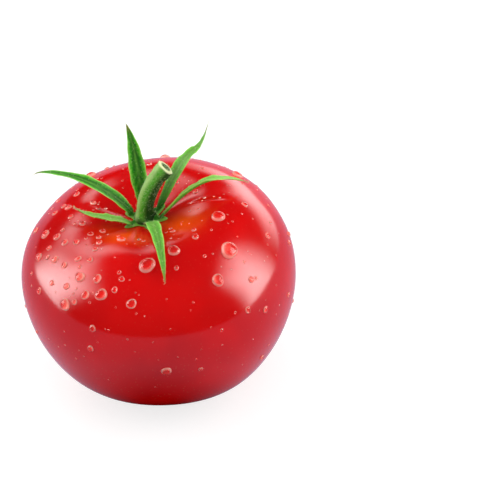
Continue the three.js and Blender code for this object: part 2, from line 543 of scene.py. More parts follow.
@dataclass(frozen=True)
class FruitForm:
    """The fruit's shape, as the CAD part has it. Sizes are millimetres."""

    belly_radius: float = 38.0
    belly_height: float = 31.0
    shoulder_rise: float = 28.0
    base_fullness: float = 2.5
    shoulder_fullness: float = 1.95
    belly_rounding: float = 34.0
    belly_sharpness: float = 8.0
    shoulder_tilt: float = 0.12
    flat_spot_depth: float = 0.5
    settling: float = 0.15  # how softly the skin meets the flat spot
    cavity_depth: float = 9.0
    cavity_radius: float = 14.0
    cavity_centre: tuple[float, float] = (-3.0, 0.0)
    furrow_start: float = 7.0
    furrow_reach: float = 24.0
    near: float = 0.1  # how far to each side the slope of the skin is measured
    furrows: tuple[Furrow, ...] = (
        Furrow(20, 13, 0.6, 0.4),
        Furrow(100, 17, 0.8, 0.3),
        Furrow(155, 14, 1.0, 0.4),
        Furrow(215, 16, 0.9, 0.3),
        Furrow(272, 16, 0.5, 0.2),
        Furrow(330, 16, 0.3, 0.2),
        Furrow(308, 24, 0.0, -0.9),
    )

    def furrow_sum(self, angle: np.ndarray, size: str) -> np.ndarray:
        """Adds up one size of every furrow, each a bell in the turn from its bearing.

        Args:
            angle: Bearings in radians.
            size: "depth" or "dent".

        Returns:
            The sum, in millimetres.
        """
        total = np.zeros_like(angle)
        for furrow in self.furrows:
            total += getattr(furrow, size) * bell(turn_from(angle, furrow.bearing), furrow.spread)
        return total

    def ring_radius(self, angle: np.ndarray) -> np.ndarray:
        """Radius of the widest ring: the belly's, less the furrows' dents."""
        return self.belly_radius - self.furrow_sum(angle, "dent")

    def from_stem(self, x: np.ndarray, y: np.ndarray) -> tuple[np.ndarray, np.ndarray]:
        """Distance, and bearing in radians, from the middle of the stem's cavity."""
        dx, dy = x - self.cavity_centre[0], y - self.cavity_centre[1]
        return np.hypot(dx, dy), np.arctan2(dy, dx)

    def furrow_press(self, x: np.ndarray, y: np.ndarray) -> np.ndarray:
        """How far the furrows press in the top.

        Their depths begin from the stem out as 1 - exp(-(q/start)²) and are lost as exp(-(q/reach)⁴).

        Args:
            x: Places in millimetres.
            y: Places in millimetres.

        Returns:
            Depths in millimetres.
        """
        distance, angle = self.from_stem(x, y)
        begun = 1 - bell(distance, self.furrow_start)
        lasting = np.exp(-((distance / self.furrow_reach) ** 4))
        return self.furrow_sum(angle, "depth") * begun * lasting

    def press(self, x: np.ndarray, y: np.ndarray) -> np.ndarray:
        """How far the top is pressed in: by the cavity, a bell round the stem, and the furrows."""
        distance, _ = self.from_stem(x, y)
        return self.cavity_depth * bell(distance, self.cavity_radius) + self.furrow_press(x, y)

    def arch(self, share: np.ndarray, rise: float, fullness: float) -> np.ndarray:
        """Height of a quarter superellipse, h · (1 - sⁿ)^(1/n), at a share s of its radius.

        Near the widest ring h and n blend into one ellipse that both halves share, by the weight
        s^sharpness.

        Args:
            share: Distance from the axis over the radius.
            rise: Height at the axis.
            fullness: The exponent n at the axis.

        Returns:
            Heights in millimetres.
        """
        inside = np.clip(share, 0, 1)
        nearness = inside**self.belly_sharpness
        height = rise + (self.belly_rounding - rise) * nearness
        power = fullness + (2 - fullness) * nearness
        return height * np.maximum(1 - inside**power, 0) ** (1 / power)

    def skin_height(self, x: np.ndarray, y: np.ndarray) -> np.ndarray:
        """Height of the upper skin: the widest ring's, plus the tilted dome, less what is pressed in.

        Args:
            x: Places in millimetres.
            y: Places in millimetres.

        Returns:
            Heights above the floor, in millimetres.
        """
        share = np.hypot(x, y) / self.ring_radius(np.arctan2(y, x))
        dome = self.arch(share, self.shoulder_rise, self.shoulder_fullness)
        tilt = 1 + self.shoulder_tilt * x / self.belly_radius
        return self.belly_height - self.flat_spot_depth + dome * tilt - self.press(x, y)

    def above_skin(self, x: np.ndarray, y: np.ndarray, clearance: float | np.ndarray) -> Points:
        """Points off the upper skin, measured square to it: skin + clearance · normal.

        Args:
            x: Places in millimetres.
            y: Places in millimetres.
            clearance: How far off the skin, in millimetres.

        Returns:
            Points in millimetres.
        """
        near = self.near
        slope_x = (self.skin_height(x + near, y) - self.skin_height(x - near, y)) / (2 * near)
        slope_y = (self.skin_height(x, y + near) - self.skin_height(x, y - near)) / (2 * near)
        normal = unit(np.stack([-slope_x, -slope_y, np.ones_like(slope_x)], axis=-1))
        skin = np.stack([x, y, self.skin_height(x, y)], axis=-1)
        return skin + np.asarray(clearance)[..., None] * normal

    def surface(self, latitude: np.ndarray, bearing: np.ndarray) -> Points:
        """The whole skin as a function of latitude and bearing, both in radians.

        A point lies at cos(latitude) of the ring's radius. Above the ring its height is the upper skin's.
        Below it the height is the lower arch's, which settles softly on the flat spot: half of h +
        sqrt(h² + soft²).

        Args:
            latitude: From -90 degrees at the blossom end to 90 at the stem.
            bearing: Anticlockwise from +X, seen from above.

        Returns:
            Points in millimetres.
        """
        share = np.cos(latitude)
        radius = self.ring_radius(bearing)
        x, y = share * radius * np.cos(bearing), share * radius * np.sin(bearing)
        drop = self.arch(share, self.belly_height, self.base_fullness)
        base = self.belly_height - self.flat_spot_depth - drop
        lower = (base + np.sqrt(base**2 + self.settling**2)) / 2
        return np.stack([x, y, np.where(latitude > 0, self.skin_height(x, y), lower)], axis=-1)

    def normals(self, latitude: np.ndarray, bearing: np.ndarray) -> Points:
        """Outward unit normals of the skin: the cross product of its slopes along bearing and latitude.

        Args:
            latitude: In radians.
            bearing: In radians.

        Returns:
            Unit vectors.
        """
        east = self.surface(latitude, bearing + NEAR) - self.surface(latitude, bearing - NEAR)
        north = self.surface(latitude + NEAR, bearing) - self.surface(latitude - NEAR, bearing)
        return unit(np.cross(east, north))


@dataclass(frozen=True)
class Crease:
    """A fine crease in the skin, out from the stem. Bearing and spread are degrees, the rest millimetres."""

    bearing: float
    spread: float
    depth: float
    start: float
    end: float


@dataclass
class Fruit:
    """The fruit, as one closed skin with fine creases by its stem and a corky blossom scar.

    A row of `blush` is an orange patch: its bearing and spread in degrees, then its distance from the
    stem and its spread in millimetres.
    """

    form: FruitForm
    creases: tuple[Crease, ...] = (
        Crease(5.5, 2.4, 0.55, 10, 24),
        Crease(104, 3.0, 0.3, 7, 17),
        Crease(158, 2.6, 0.35, 7, 19),
        Crease(214, 2.6, 0.3, 6, 16),
        Crease(262, 3.0, 0.2, 6, 13),
    )
    blush: tuple[tuple[float, float, float, float], ...] = ((328, 24, 12, 5.0), (236, 22, 11, 4.0))
    blush_strength: float = 0.6
    fleck_strength: tuple[float, float] = (0.25, 0.55)  # at the top, and how much more low down
    fleck_heights: tuple[float, float] = (45, 20)  # where that begins and where it is full
    rings: int = 239
    segments: int = 320
    scar_radius: float = 1.5
    scar_core: float = 0.6  # the share of the scar's radius that is all cork
    dimple_depth: float = 0.5
    dimple_radius: float = 4.0
    underside: float = 1.0  # how high the part counts as underside

    def dimple(self, points: Points) -> np.ndarray:
        """Rise of the skin at the blossom end: a bell, so that only a ring of the flat spot rests.

        Args:
            points: Points of the skin, in millimetres.

        Returns:
            The rise at each point, and 0 above the underside.
        """
        rise = self.dimple_depth * bell(np.hypot(points[..., 0], points[..., 1]), self.dimple_radius)
        return np.where(points[..., 2] < self.underside, rise, 0)

    def crease_press(self, x: np.ndarray, y: np.ndarray) -> np.ndarray:
        """How far the creases press in: each is a bell across, and sin² of the share of its length along.

        Args:
            x: Places in millimetres.
            y: Places in millimetres.

        Returns:
            Depths in millimetres.
        """
        distance, angle = self.form.from_stem(x, y)
        total = np.zeros_like(distance)
        for crease in self.creases:
            length = crease.end - crease.start
            lasting = np.sin(math.pi * np.clip((distance - crease.start) / length, 0, 1)) ** 2
            total += crease.depth * bell(turn_from(angle, crease.bearing), crease.spread) * lasting
        return total

    def blush_share(self, x: np.ndarray, y: np.ndarray) -> np.ndarray:
        """Where the skin is orange: the sum of patches, each a bell in bearing times a bell in distance.

        Args:
            x: Places in millimetres.
            y: Places in millimetres.

        Returns:
            Shares from 0 to 1.
        """
        distance, angle = self.form.from_stem(x, y)
        total = np.zeros_like(distance)
        for bearing, spread, reach, width in self.blush:
            total += bell(turn_from(angle, bearing), spread) * bell(distance - reach, width)
        return np.clip(total, 0, 1)

    def shell(self) -> Shell:
        """Builds the skin on a grid of latitude by bearing.

        Returns:
            The closed skin, with layers for blush, flecks and scar, each from 0 to 1.
        """
        latitude = np.radians(np.linspace(-90, 90, self.rings + 2))[:, None]
        latitude, bearing = np.broadcast_arrays(latitude, ring_angles(self.segments))
        points = self.form.surface(latitude, bearing)
        points[..., 2] += self.dimple(points)
        x, y, z = points[..., 0], points[..., 1], points[..., 2]
        upper = latitude > 0
        points[..., 2] -= np.where(upper, self.crease_press(x, y), 0)
        blush = np.where(upper, self.blush_strength * self.blush_share(x, y), 0)
        least, more = self.fleck_strength
        flecks = least + more * smoothstep(*self.fleck_heights, z)
        core = self.scar_core * self.scar_radius
        scar = np.where(upper, 0, smoothstep(self.scar_radius, core, np.hypot(x, y)))
        layers = {
            "blush": (blush[1:-1], 0.0, 0.0),
            "flecks": (flecks[1:-1], least + more, least),
            "scar": (scar[1:-1], 1.0, 0.0),
        }
        return Shell(points[1:-1], np.stack([points[0, 0], points[-1, 0]]), layers)

    def build(self, skin: bpy.types.Material) -> bpy.types.Object:
        """Makes the piece and dresses it.

        Args:
            skin: Its material.

        Returns:
            The piece.
        """
        piece = build_piece("fruit_skin", [self.shell()], "fruit")
        piece.data.materials.append(skin)
        return piece


# ---- Stem ----


@dataclass
class Stem:
    """The stalk: a flared foot, a ribbed bent shaft and a swollen end with sunk pith, in millimetres."""

    form: FruitForm
    gap: float = 0.3
    radius: float = 2.25
    foot_radius: float = 3.2
    foot_thickness: float = 0.7
    flare: float = 3.0
    end_radius: float = 2.4
    end_length: float = 2.4
    pith_radius: float = 1.75
    pith_depth: float = 0.5
    pith_edges: tuple[float, float] = (0.1, 0.75)  # where the cut begins to sink to the pith and is down
    pith_core: float = 0.75  # the share of the pith's radius that has its full colour
    foot_steps: tuple[float, float] = (0.35, 0.8)  # the rings of the foot's rim, as shares of its thickness
    foot_slant: tuple[float, float] = (0.97, 0.95)  # the foot's upper edges, as shares of its radius
    flare_power: float = 0.6  # below 1, the foot narrows to the shaft soon
    swell: tuple[float, float] = (-1.2, 0.6)  # where the end's swelling begins and is full, from its start
    neck: tuple[float, float, float] = (0.12, 1.6, 0.8)  # depth, distance before the swelling, and spread
    rim_height: float = 0.35  # of the rounded rim of the cut
    rim_width: float = 0.45
    foot_rings: int = 6
    shaft_rings: int = 70
    rim_rings: int = 6
    cut_rings: int = 10
    curve: tuple[tuple[float, float, float], ...] = ((0, 0, 0), (-0.5, 0, 7), (1.7, -0.4, 12.3), (6, 1, 17))
    painted_lit_side: float = 188.0  # the bearing round the stalk that has painted light, in degrees; the far side has painted shade
    dark: tuple[float, float, float] = (0.92, 0.8, 0.42)  # painted shade on the far side and the foot: strength, and where it begins and is full
    # painted light on the lit side: strength, and where it begins and is full
    pale: tuple[float, float, float] = (0.8, 0.8, 0.98)
    # painted highlights on the ribs of the lit side: strength, and where they begin and are full
    painted_lit_ribs: tuple[float, float, float] = (0.3, 0.4, 0.8)
    cut_edge: tuple[float, float] = (0.5, 0.2)  # how far below the end the cut's colour begins and is full
    ribs: int = 5
    rib_height: float = 0.14
    rib_twist: float = 0.05  # radians to a millimetre of height
    wobble: float = 0.05  # how far the outline strays
    wobble_twist: float = 0.9
    sides: int = 96
    samples: int = 400  # of the centreline, for lengths along it

    def foot(self) -> Points:
        """The middle of the stalk's foot, at the gap above the floor of the cavity."""
        x, y = (np.array(c) for c in self.form.cavity_centre)
        return self.form.above_skin(x, y, self.gap)

    def path(self, share: np.ndarray) -> Points:
        """The stalk's centreline, as a cubic Bezier curve from its foot."""
        return self.foot() + bezier(np.array(self.curve, dtype=float), share)

    def profile(self) -> tuple[np.ndarray, np.ndarray]:
        """The stalk's outline, from the foot's middle to the pith's middle.

        The foot narrows to the shaft by smoothstep(height)^power. The shaft has a slight neck, swells by
        another smoothstep to the end, and the end's rim is a quarter ellipse round the sunk pith.

        Returns:
            Heights along the stalk, and the radius at each.
        """
        length = self.length()
        foot_rise = self.form.cavity_depth * (1 - bell(self.foot_radius, self.form.cavity_radius))
        foot_top = foot_rise + self.foot_thickness
        edge, top = self.foot_slant
        under = np.linspace(INNERMOST, 1, self.foot_rings)
        shaft = np.linspace(foot_top, length - self.rim_height, self.shaft_rings)
        fall = smoothstep(foot_top, foot_rise + self.flare, shaft) ** self.flare_power
        begun, full = self.swell
        swell_start = length - self.end_length
        swell = smoothstep(swell_start + begun, swell_start + full, shaft)
        depth, before, spread = self.neck
        neck = depth * bell(shaft - swell_start + before, spread)
        body = self.foot_radius * top + (self.radius - self.foot_radius * top) * fall
        rim = np.linspace(0, math.pi / 2, self.rim_rings + 1)[1:]
        inner = np.linspace(0, 1, self.cut_rings + 2)[1:-1]
        heights = [
            foot_rise * under**2,
            foot_rise + self.foot_thickness * np.array(self.foot_steps),
            shaft,
            length - self.rim_height + self.rim_height * np.sin(rim),
            length - self.pith_depth * smoothstep(*self.pith_edges, inner),
        ]
        radii = [
            self.foot_radius * under,
            self.foot_radius * np.array([1.0, edge]),
            body + (self.end_radius - self.radius) * swell - neck,
            self.end_radius - self.rim_width * (1 - np.cos(rim)),
            (self.end_radius - self.rim_width) * (1 - inner),
        ]
        return np.concatenate(heights), np.concatenate(radii)

    def run(self) -> tuple[np.ndarray, np.ndarray]:
        """Measures along the centreline, by the sum of its short chords.

        Returns:
            Shares of the curve, and the length from the foot to each in millimetres.
        """
        share = np.linspace(0, 1, self.samples)
        chords = np.linalg.norm(np.diff(self.path(share), axis=0), axis=-1)
        return share, np.concatenate([[0], np.cumsum(chords)])

    def length(self) -> float:
        """Length of the centreline."""
        return float(self.run()[1][-1])

    def shell(self) -> Shell:
        """Builds the stalk: the outline's rings, carried square to the centreline.

        The radius at an angle a is the outline's, plus height · cos(ribs · a) / 2, plus the wobble's
        sin(3a).

        Returns:
            The closed stalk, with layers of painted shade on its far side and its foot, painted light
            on its lit side and painted highlights on the ribs there, and the cut end's and the pith's
            colours.
        """
        heights, radii = self.profile()
        length = self.length()
        fine, run = self.run()
        share = np.interp(heights, run, fine)
        centre, tangent = self.path(share), slopes(self.path, share)
        rearwards = np.array([0.0, 1.0, 0.0])
        back = unit(rearwards - dot(tangent, rearwards) * tangent)
        across = np.cross(back, tangent)
        angle = ring_angles(self.sides)
        rib = 0.5 + 0.5 * np.cos(self.ribs * angle + self.rib_twist * heights[:, None])
        ring_number = np.arange(len(heights))[:, None]
        outside = ring_number < len(heights) - self.rim_rings - self.cut_rings
        ribbed = radii[:, None] + np.where(outside, self.rib_height * (rib - 0.5), 0)
        wobble = self.wobble * np.sin(3 * angle + self.wobble_twist * heights[:, None]) * outside
        ring = (ribbed + wobble)[..., None] * (
            np.cos(angle)[..., None] * across[:, None] + np.sin(angle)[..., None] * back[:, None]
        )
        points = centre[:, None] + ring
        begun, full = self.cut_edge
        cut = np.broadcast_to(smoothstep(length - begun, length - full, heights)[:, None], rib.shape)
        after_rim = ring_number >= len(heights) - self.cut_rings
        cut = np.where(after_rim, 1.0, cut)
        facing = 0.5 + 0.5 * np.cos(angle - math.radians(self.painted_lit_side)) + 0 * heights[:, None]
        above_foot = smoothstep(self.foot_thickness, self.flare, heights)[:, None]
        pith = smoothstep(self.pith_radius, self.pith_core * self.pith_radius, radii)[:, None]
        pith = np.where(after_rim, pith, 0.0)
        # Painted light and shade: the side facing the left soft box is lit, and the far side and the foot,
        # down in the cavity, are shaded.
        shade, light, painted_lit_ridge = (
            strength * smoothstep(low, high, facing)
            for strength, low, high in (self.dark, self.pale, self.painted_lit_ribs)
        )
        layers = {
            "shade": (np.maximum(shade, self.dark[0] * (1 - above_foot)), 0.0, 0.0),
            "light": (light * above_foot, 0.0, 0.0),
            "rib": (painted_lit_ridge * np.where(outside, rib**3, 0), 0.0, 0.0),
            "cut": (cut, 0.0, 1.0),
            "pith": (np.broadcast_to(pith, rib.shape), 0.0, 1.0),
        }
        top = self.path(np.array([1.0]))[0] - slopes(self.path, np.array([1.0]))[0] * self.pith_depth
        return Shell(points, np.stack([self.foot(), top]), layers)

    def build(self, tissue: bpy.types.Material) -> bpy.types.Object:
        """Makes the piece and dresses it.

        Args:
            tissue: Its material.

        Returns:
            The piece.
        """
        piece = build_piece("stalk", [self.shell()], "stem")
        piece.data.materials.append(tissue)
        return piece


# ---- Sepals ----


@dataclass(frozen=True)
class Sepal:
    """One sepal's spine and blade.

    The spine is a cubic curve from the stem's foot, pulled by the two `via` points, to `tip`, each given
    as distance out from the stem, distance to the left, and height above the skin. Sizes are millimetres.

    Attributes:
        name: The CAD node's name.
        bearing: Where it points, in degrees anticlockwise from +X.
        via: The two points that pull the spine.
        tip: Its end.
        width: Of the blade, where it is widest.
        widest: The share of the length where that is.
        taper: How late the blade narrows to its tip.
        twist: Turn of the blade about its spine at the tip, in degrees.
        pallor: How pale its upper side is, from 0 to 1.
    """

    name: str
    bearing: float
    via: tuple[tuple[float, float, float], tuple[float, float, float]]
    tip: tuple[float, float, float]
    width: float
    widest: float
    taper: float = 1.7
    twist: float = 0.0
    pallor: float = 0.0


# Name, bearing, the two points that pull the spine, the tip, the width and where it is widest.
SEPALS = (
    Sepal("sepal_front", 288, ((8.5, -0.5, 5.5), (20, -1, 1.5)), (28, -2.5, 0), 3.6, 0.35, pallor=0.25),
    Sepal(
        "sepal_right", 340, ((13, 3, 8.5), (17, 9.5, 4.5)), (22.5, 18.5, 2), 3.6, 0.25, twist=-38, pallor=0.6
    ),
    Sepal(
        "sepal_back_right",
        38,
        ((12.5, -7.5, 24.5), (17, -0.8, 4)),
        (19.5, -3, 19.5),
        4.2,
        0.25,
        taper=0.9,
        pallor=0.3,
    ),
    Sepal("sepal_back", 95, ((4.5, 1.5, 8), (8.5, 1.5, 15.5)), (10.5, 4, 22.5), 4.6, 0.45),
    Sepal("sepal_left_upper", 152, ((6, 2, 7), (20, 7, 9)), (32.5, 4.5, 15.5), 3.8, 0.35),
    Sepal("sepal_left_lower", 212, ((8.5, -1, 3.5), (14.5, -3, 0.5)), (17, -8.5, 4.5), 3.2, 0.3, pallor=0.5),
)


@dataclass
class SepalBlades:
    """The six sepals as thin cupped blades with a midrib and wavy edges. Sizes are millimetres."""

    form: FruitForm
    gap: float = 0.3
    foot_radius: float = 3.2
    thickness: float = 0.8
    root_width: float = 2.6
    cup: float = 0.3
    rings: int = 120
    sides: int = 28
    midrib: float = 0.22
    midrib_spread: float = 0.3125  # as a share of the half width
    edge_thinning: float = 0.55  # how much thinner the blade is at its edges, as a share
    edge_wave: float = 0.16
    wave_rates: tuple[float, float] = (21, 47)  # radians over the blade's length
    edge_nibble: float = 0.04
    nibble_rate: float = 33
    phase_step: float = 1.7  # radians between one sepal's waves and the next one's
    groove: float = 0.6  # the upper side's groove over the midrib, as a share of the midrib
    thin_from: float = 0.5  # the half width below which the blade thins out
    veins: tuple[float, float, float, float] = (9, 31, 2, 17)  # the dark middle's pattern, in radians
    dark_middle: tuple[float, float] = (0.95, 0.25)  # the share of the half width where it begins and is full
    dark_share: tuple[float, float] = (0.6, 0.4)  # its least strength, and how much the pattern adds
    underside: float = 0.7  # its strength on the underside
    paling: float = 0.6  # how much a pale sepal's upper side pales
    dark_root: tuple[float, float, float] = (0.8, 0.16, 0.02)  # strength, and where along it ends and is full
    pale_vein: tuple[float, float] = (0.2, 1 / 6)  # strength, and spread as a share of the half width
    vein_start: tuple[float, float] = (0.04, 0.2)
    pale_edge: tuple[float, float] = (0.75, 0.72)  # strength, and the share of the half width where it begins
    dry_tip: tuple[float, float] = (0.85, 0.86)  # strength, and the share of the length where it begins

    def spine(self, sepal: Sepal, t: np.ndarray) -> Points:
        """Points on a sepal's spine: off the skin by the gap and half the thickness, then up by its height.

        Args:
            sepal: Which sepal.
            t: Shares of the spine, from 0 at the root to 1 at the tip.

        Returns:
            Points in millimetres.
        """
        root = (self.foot_radius + self.gap + self.thickness, 0, 0)
        place = bezier(np.array([root, *sepal.via, sepal.tip], dtype=float), t)
        bearing = math.radians(sepal.bearing)
        out, left = place[..., 0], place[..., 1]
        x = self.form.cavity_centre[0] + math.cos(bearing) * out - math.sin(bearing) * left
        y = self.form.cavity_centre[1] + math.sin(bearing) * out + math.cos(bearing) * left
        points = self.form.above_skin(x, y, self.gap + self.thickness / 2)
        points[..., 2] += place[..., 2]
        return points

    def half_width(self, sepal: Sepal, t: np.ndarray) -> np.ndarray:
        """Half the width: swelling from the root as sin², and narrowing to the tip as 1 - share^taper.

        Args:
            sepal: Which sepal.
            t: Shares of the spine.

        Returns:
            Half widths in millimetres.
        """
        swollen = np.sin(math.pi / 2 * np.minimum(t / sepal.widest, 1)) ** 2
        narrowed = 1 - np.clip((t - sepal.widest) / (1 - sepal.widest), 0, 1) ** sepal.taper
        rounded = np.sqrt(1 - (1 - np.minimum(t / 0.04, 1)) ** 2)
        return (self.root_width + (sepal.width - self.root_width) * swollen) / 2 * narrowed * rounded

    def frame(self, sepal: Sepal, t: np.ndarray) -> tuple[Points, Points, Points]:
        """Spine points with the blade's sideways and upward directions at each.

        Sideways is the level left direction made square to the spine and turned on it by the twist.

        Args:
            sepal: Which sepal.
            t: Shares of the spine.

        Returns:
            Points, sideways unit vectors and upward unit vectors.
        """
        bearing = math.radians(sepal.bearing)
        left = np.array([-math.sin(bearing), math.cos(bearing), 0.0])
        tangent = slopes(lambda share: self.spine(sepal, share), t)
        side = unit(left - dot(tangent, left) * tangent)
        turn = (math.radians(sepal.twist) * t)[..., None]
        side = np.cos(turn) * side + np.sin(turn) * np.cross(tangent, side)
        return self.spine(sepal, t), side, np.cross(tangent, side)

    def shell(self, sepal: Sepal, seed: int) -> Shell:
        """Builds one blade as flat rings round its spine.

        A ring's point at angle a lies cos(a) of the half width sideways. It rises by the cup, cup · half
        · cos²(a), and by sin(a) of half the thickness. The underside swells at the midrib, the upper side
        has a groove over it, and the edges wave.

        Args:
            sepal: Which sepal.
            seed: Its number, which says where its edge's waves start.

        Returns:
            The closed blade, with its colour layers: middle, vein, edge and dry.
        """
        t = (1 - np.cos(np.linspace(0, math.pi, self.rings + 2)))[1:-1] / 2
        centre, side, face = self.frame(sepal, t)
        angle = ring_angles(self.sides)
        across, through = np.cos(angle), np.sin(angle)
        half = self.half_width(sepal, t)[:, None]
        along = t[:, None]
        phase = self.phase_step * seed
        slow, quick = self.wave_rates
        wave = np.sin(along * slow + phase + np.where(across > 0, 0, 2.1))
        wave = wave + 0.5 * np.sin(along * quick + 2 * phase)
        rise = self.cup * half * across**2 * np.minimum(1, 4 * along)
        rise = rise + self.edge_wave * wave * across**4 * np.sin(math.pi * along)
        thinning = (1 - along / 2) * (1 - self.edge_thinning * across**2)
        depth = self.thickness * thinning * np.minimum(1, half / self.thin_from)
        midrib = self.midrib * bell(across, self.midrib_spread) * np.sin(math.pi * along**0.7)
        height = rise + depth / 2 * through - midrib * np.where(through < 0, 1, self.groove)
        nibble = 1 + self.edge_nibble * np.sin(along * self.nibble_rate + 3 * phase) * across**2
        sideways = side[:, None] * (half * across * nibble)[..., None]
        points = centre[:, None] + sideways + face[:, None] * height[..., None]
        layers = self.colour_layers(sepal, *np.broadcast_arrays(np.abs(across), through, along))
        return Shell(points, self.spine(sepal, np.array([0.0, 1.0])), layers)

    def colour_layers(self, sepal: Sepal, across: np.ndarray, through: np.ndarray, along: np.ndarray) -> dict:
        """Where each colour lies on a blade.

        The dark middle is a smoothstep across, times waves along, the pale vein is a bell across, and the
        pale edge and the dry tip are smoothsteps.

        Args:
            sepal: Which sepal.
            across: 0 at the midrib and 1 at an edge.
            through: 1 on the upper side and -1 on the underside.
            along: 0 at the root and 1 at the tip.

        Returns:
            The layers, with their values at the two ends.
        """
        upper = through > 0
        ripple, run, bend, bends = self.veins
        grain = 0.5 + 0.5 * np.sin(ripple * across + run * along + bend * np.sin(bends * along))
        least, more = self.dark_share
        pale = self.paling * sepal.pallor
        middle = smoothstep(*self.dark_middle, across) * (least + more * grain)
        middle = middle * np.where(upper, 1 - pale, self.underside)
        root, root_end, root_full = self.dark_root
        middle = np.maximum(middle, root * smoothstep(root_end, root_full, along))
        strength, spread = self.pale_vein
        vein = strength * bell(across, spread) * upper * smoothstep(*self.vein_start, along)
        strength, start = self.pale_edge
        edge = np.maximum(strength * smoothstep(start, 1.0, across), pale * upper)
        edge = edge * smoothstep(0, self.vein_start[1], along)
        dryness, start = self.dry_tip
        dry = dryness * smoothstep(start, 1.0, along)
        ends = {"middle": (root, 0.0), "vein": (0.0, 0.0), "edge": (0.0, 0.3), "dry": (0.0, dryness)}
        grids = {"middle": middle, "vein": vein, "edge": edge, "dry": dry}
        return {name: (grid, *ends[name]) for name, grid in grids.items()}

    def shells(self) -> list[Shell]:
        """Every blade, in the order of the sepals."""
        return [self.shell(sepal, seed) for seed, sepal in enumerate(SEPALS)]

    def build(self, leaf: bpy.types.Material) -> None:
        """Makes every sepal a piece and dresses it.

        Args:
            leaf: Their material.
        """
        for sepal, shell in zip(SEPALS, self.shells()):
            piece = build_piece(f"{sepal.name}_blade", [shell], sepal.name)
            piece.data.materials.append(leaf)


@dataclass
class Collar:
    """The calyx's collar, the low green cup that the sepals and the stalk grow from, in millimetres."""

    form: FruitForm
    gap: float = 0.12
    radius: float = 3.3
    lobe: float = 3.2  # how much farther it reaches under a sepal
    lobe_spread: float = 14.0  # degrees
    middle_height: float = 1.7
    edge_height: float = 0.5
    edge_start: float = 0.85  # the share of the reach where its edge begins to round off
    edge_rounding: float = 0.96
    pale_rim: tuple[float, float] = (0.55, 0.8)  # strength, and the share of the reach where it begins
    darkness: float = 0.75  # of its middle
    ripple: float = 0.1  # how much its height rises over each sepal's share of the ring
    rings: int = 14
    sides: int = 180

    def reach(self, angle: np.ndarray) -> np.ndarray:
        """Its outline: the radius, plus a lobe for each sepal as a bell in the turn from it.

        Args:
            angle: Bearings in radians.

        Returns:
            Distances from the stem, in millimetres.
        """
        total = np.full_like(angle, self.radius)
        for sepal in SEPALS:
            total += self.lobe * bell(turn_from(angle, sepal.bearing), self.lobe_spread)
        return total

    def shell(self) -> Shell:
        """Builds the collar: an underside that follows the skin, a rounded edge and a low domed top.

        At a share s of the reach the top's height is edge + (middle - edge) · (1 - s²), rounded off at
        the edge by a quarter ellipse.

        Returns:
            The closed collar, with the sepals' colour layers.
        """
        angle = ring_angles(self.sides)
        outward = np.linspace(INNERMOST, 1, self.rings)
        share = np.concatenate([outward, outward[::-1]])[:, None]
        top = np.concatenate([np.zeros(self.rings), np.ones(self.rings)])[:, None]
        height = self.edge_height + (self.middle_height - self.edge_height) * (1 - share**2)
        edge = np.clip((share - self.edge_start) / (1 - self.edge_start), 0, 1)
        height = height * np.sqrt(1 - edge**2 * self.edge_rounding)
        lobes = 1 + self.ripple * np.cos(len(SEPALS) * angle)
        out = self.reach(angle) * share
        x = self.form.cavity_centre[0] + out * np.cos(angle)
        y = self.form.cavity_centre[1] + out * np.sin(angle)
        points = self.form.above_skin(x, y, self.gap + top * height * lobes)
        centre = np.array(self.form.cavity_centre)
        ends = np.stack([self.form.above_skin(*centre, self.gap + h) for h in (0.0, self.middle_height)])
        strength, start = self.pale_rim
        rim = strength * smoothstep(start, 1.0, share) + 0 * angle
        flat = np.zeros_like(rim)
        layers = {name: (flat, 0.0, 0.0) for name in ("vein", "dry")}
        layers["middle"] = (self.darkness - rim, self.darkness, self.darkness)
        layers["edge"] = (rim / 2, 0.0, 0.0)
        return Shell(points, ends, layers)

    def build(self, leaf: bpy.types.Material) -> None:
        """Makes the piece and dresses it in the sepals' leaf material."""
        piece = build_piece("calyx_collar", [self.shell()])
        piece.data.materials.append(leaf)


@dataclass
class Down:
    """Short fine hairs that stand on the stalk and the sepals. Sizes are millimetres.

    A hair is thicker than a real one, which would be too fine to show.
    """

    count: int = 1500
    length: tuple[float, float] = (0.35, 0.8)
    thickness: float = 0.07
    lean: float = 0.5  # how far a hair leans from upright, as a share of its length
    rooted: float = 0.05  # how deep it is rooted
    bare_rings: int = 2  # rings at each end of a surface that bear no hairs
    seed: int = 11

    def hairs(self, shells: list[Shell]) -> list[Shell]:
        """Plants three-sided hairs on surfaces, at random points of their grids.

        A point's normal is the cross product of its steps round and along the rings, and a hair stands on
        it with a random lean.

        Args:
            shells: The surfaces.

        Returns:
            The hairs, each a closed spike.
        """
        random = np.random.default_rng(self.seed)
        roots, normals = [], []
        for shell in shells:
            rings = shell.rings
            around = np.roll(rings, -1, axis=1) - np.roll(rings, 1, axis=1)
            normal = unit(np.cross(around, np.gradient(rings, axis=0)))
            bearing_hairs = slice(self.bare_rings, -self.bare_rings)
            roots.append(rings[bearing_hairs].reshape(-1, 3))
            normals.append(normal[bearing_hairs].reshape(-1, 3))
        roots, normals = np.concatenate(roots), np.concatenate(normals)
        chosen = random.choice(len(roots), self.count, replace=False)
        lean = self.lean * random.normal(size=(self.count, 3))
        sizes = random.uniform(*self.length, self.count)
        corners = ring_angles(3).T
        spikes = []
        for root, normal, tilt, size in zip(roots[chosen], normals[chosen], lean, sizes):
            axis = unit(normal + tilt)
            side = unit(np.cross(axis, [0.3, 0.5, 0.81]))
            round_it = np.cos(corners) * side + np.sin(corners) * np.cross(axis, side)
            ring = root + self.thickness / 2 * round_it
            spikes.append(Shell(ring[None], np.stack([root - self.rooted * axis, root + size * axis])))
        return spikes

    def build(self, shells: list[Shell], down: bpy.types.Material) -> None:
        """Makes the hairs of those surfaces as one piece and dresses it."""
        piece = build_piece("calyx_down", self.hairs(shells))
        piece.data.materials.append(down)


# ---- Water ----


@dataclass(frozen=True)
class Drop:
    """A drop: its bearing and latitude on the skin in degrees, and its width in millimetres."""

    bearing: float
    latitude: float
    width: float


